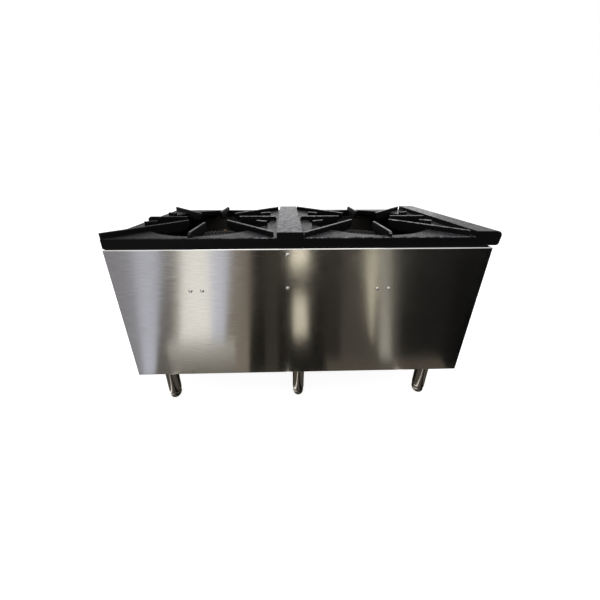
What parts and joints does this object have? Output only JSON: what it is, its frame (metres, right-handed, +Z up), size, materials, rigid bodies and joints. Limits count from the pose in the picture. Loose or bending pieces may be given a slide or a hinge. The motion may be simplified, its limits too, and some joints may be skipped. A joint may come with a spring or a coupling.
{
  "type": "stock pot range",
  "caption": "Narrow deep gas stock pot range on legs: ribbed cast-iron top sections one behind the other, ring burners, stainless cabinet, knobs and pull-out drip tray.",
  "frame": {"origin": "centre of the bounding box's footprint, on the floor under the range", "axes": "+Z up; the front with the knobs faces -Y; +X is the user's right"},
  "size_m": [0.4636, 1.1036, 0.6313],
  "materials": {
    "stainless_sheet": "brushed satin stainless",
    "stainless_leg": "polished stainless tube",
    "cast_iron_top": "dark sand-cast iron",
    "cast_iron_burner": "raw grey cast iron",
    "galvanised_sheet": "mill-finish zinc-coated sheet",
    "brass": "machined brass",
    "black_pipe": "black-lacquered steel pipe",
    "aluminium_tube": "bare drawn tube",
    "black_knob": "moulded heat-proof resin",
    "bolt_steel": "plated domed bolts"
  },
  "bodies": {
    "body": {"back_panel": "stainless_sheet", "base_frame": "galvanised_sheet", "centre_divider": "galvanised_sheet", "control_panel": "stainless_sheet", "front_burner_support": "galvanised_sheet", "front_inner_burner": "cast_iron_burner", "front_outer_burner": "cast_iron_burner", "front_pilot": "aluminium_tube", "front_pilot_tube": "aluminium_tube", "gas_manifold": "black_pipe", "gas_valves": "brass", "left_side_panel": "stainless_sheet", "left_tray_runner": "galvanised_sheet", "leg_plates": "galvanised_sheet", "legs": "stainless_leg", "lower_front_panel": "stainless_sheet", "pilot_valves": "brass", "rear_burner_support": "galvanised_sheet", "rear_inner_burner": "cast_iron_burner", "rear_inner_feed_tube": "aluminium_tube", "rear_orifice_holders": "brass", "rear_outer_burner": "cast_iron_burner", "rear_outer_feed_tube": "aluminium_tube", "rear_pilot": "aluminium_tube", "rear_pilot_tube": "aluminium_tube", "right_side_panel": "stainless_sheet", "right_tray_runner": "galvanised_sheet", "side_bolts": "bolt_steel", "supply_pipe": "black_pipe"},
    "front_outer_valve_control": {"front_outer_stem": "brass", "front_outer_knob": "black_knob"},
    "front_inner_valve_control": {"front_inner_stem": "brass", "front_inner_knob": "black_knob"},
    "rear_outer_valve_control": {"rear_outer_stem": "brass", "rear_outer_knob": "black_knob"},
    "rear_inner_valve_control": {"rear_inner_stem": "brass", "rear_inner_knob": "black_knob"},
    "front_outer_shutter": {"front_outer_shutter": "galvanised_sheet"},
    "front_inner_shutter": {"front_inner_shutter": "galvanised_sheet"},
    "rear_outer_shutter": {"rear_outer_shutter": "galvanised_sheet"},
    "rear_inner_shutter": {"rear_inner_shutter": "galvanised_sheet"},
    "drip_tray": {"drip_tray": "stainless_sheet"},
    "front_left_foot": {"front_left_foot": "stainless_leg"},
    "centre_left_foot": {"centre_left_foot": "stainless_leg"},
    "rear_left_foot": {"rear_left_foot": "stainless_leg"},
    "front_right_foot": {"front_right_foot": "stainless_leg"},
    "centre_right_foot": {"centre_right_foot": "stainless_leg"},
    "rear_right_foot": {"rear_right_foot": "stainless_leg"},
    "front_top_section": {"front_top_section": "cast_iron_top"},
    "rear_top_section": {"rear_top_section": "cast_iron_top"}
  },
  "joints": [
    {"name": "front_outer_knob_turn", "type": "hinge", "parent": "body", "child": "front_outer_valve_control", "pos_m": [0.03, -0.5188, 0.4982], "axis": [0, -1, 0], "range_deg": [0, 90]},
    {"name": "front_inner_knob_turn", "type": "hinge", "parent": "body", "child": "front_inner_valve_control", "pos_m": [-0.03, -0.5188, 0.4982], "axis": [0, -1, 0], "range_deg": [0, 90]},
    {"name": "rear_outer_knob_turn", "type": "hinge", "parent": "body", "child": "rear_outer_valve_control", "pos_m": [0.11, -0.5188, 0.4982], "axis": [0, -1, 0], "range_deg": [0, 90]},
    {"name": "rear_inner_knob_turn", "type": "hinge", "parent": "body", "child": "rear_inner_valve_control", "pos_m": [-0.11, -0.5188, 0.4982], "axis": [0, -1, 0], "range_deg": [0, 90]},
    {"name": "front_outer_shutter_turn", "type": "hinge", "parent": "body", "child": "front_outer_shutter", "pos_m": [0.03, -0.46195, 0.4982], "axis": [0, 1, 0], "range_deg": [0, 90]},
    {"name": "front_inner_shutter_turn", "type": "hinge", "parent": "body", "child": "front_inner_shutter", "pos_m": [-0.03, -0.46195, 0.4982], "axis": [0, 1, 0], "range_deg": [0, 90]},
    {"name": "rear_outer_shutter_turn", "type": "hinge", "parent": "body", "child": "rear_outer_shutter", "pos_m": [0.03, 0.0771, 0.4982], "axis": [0, 1, 0], "range_deg": [0, 90]},
    {"name": "rear_inner_shutter_turn", "type": "hinge", "parent": "body", "child": "rear_inner_shutter", "pos_m": [-0.03, 0.0771, 0.4982], "axis": [0, 1, 0], "range_deg": [0, 90]},
    {"name": "drip_tray_slide", "type": "slide", "parent": "body", "child": "drip_tray", "axis": [0, -1, 0], "range_m": [0, 0.75]},
    {"name": "front_left_foot_screw", "type": "slide", "parent": "body", "child": "front_left_foot", "axis": [0, 0, -1], "range_m": [0, 0.04]},
    {"name": "centre_left_foot_screw", "type": "slide", "parent": "body", "child": "centre_left_foot", "axis": [0, 0, -1], "range_m": [0, 0.04]},
    {"name": "rear_left_foot_screw", "type": "slide", "parent": "body", "child": "rear_left_foot", "axis": [0, 0, -1], "range_m": [0, 0.04]},
    {"name": "front_right_foot_screw", "type": "slide", "parent": "body", "child": "front_right_foot", "axis": [0, 0, -1], "range_m": [0, 0.04]},
    {"name": "centre_right_foot_screw", "type": "slide", "parent": "body", "child": "centre_right_foot", "axis": [0, 0, -1], "range_m": [0, 0.04]},
    {"name": "rear_right_foot_screw", "type": "slide", "parent": "body", "child": "rear_right_foot", "axis": [0, 0, -1], "range_m": [0, 0.04]},
    {"name": "front_top_section_lift", "type": "slide", "parent": "body", "child": "front_top_section", "axis": [0, 0, 1], "range_m": [0, 0.25]},
    {"name": "rear_top_section_lift", "type": "slide", "parent": "body", "child": "rear_top_section", "axis": [0, 0, 1], "range_m": [0, 0.25]}
  ]
}
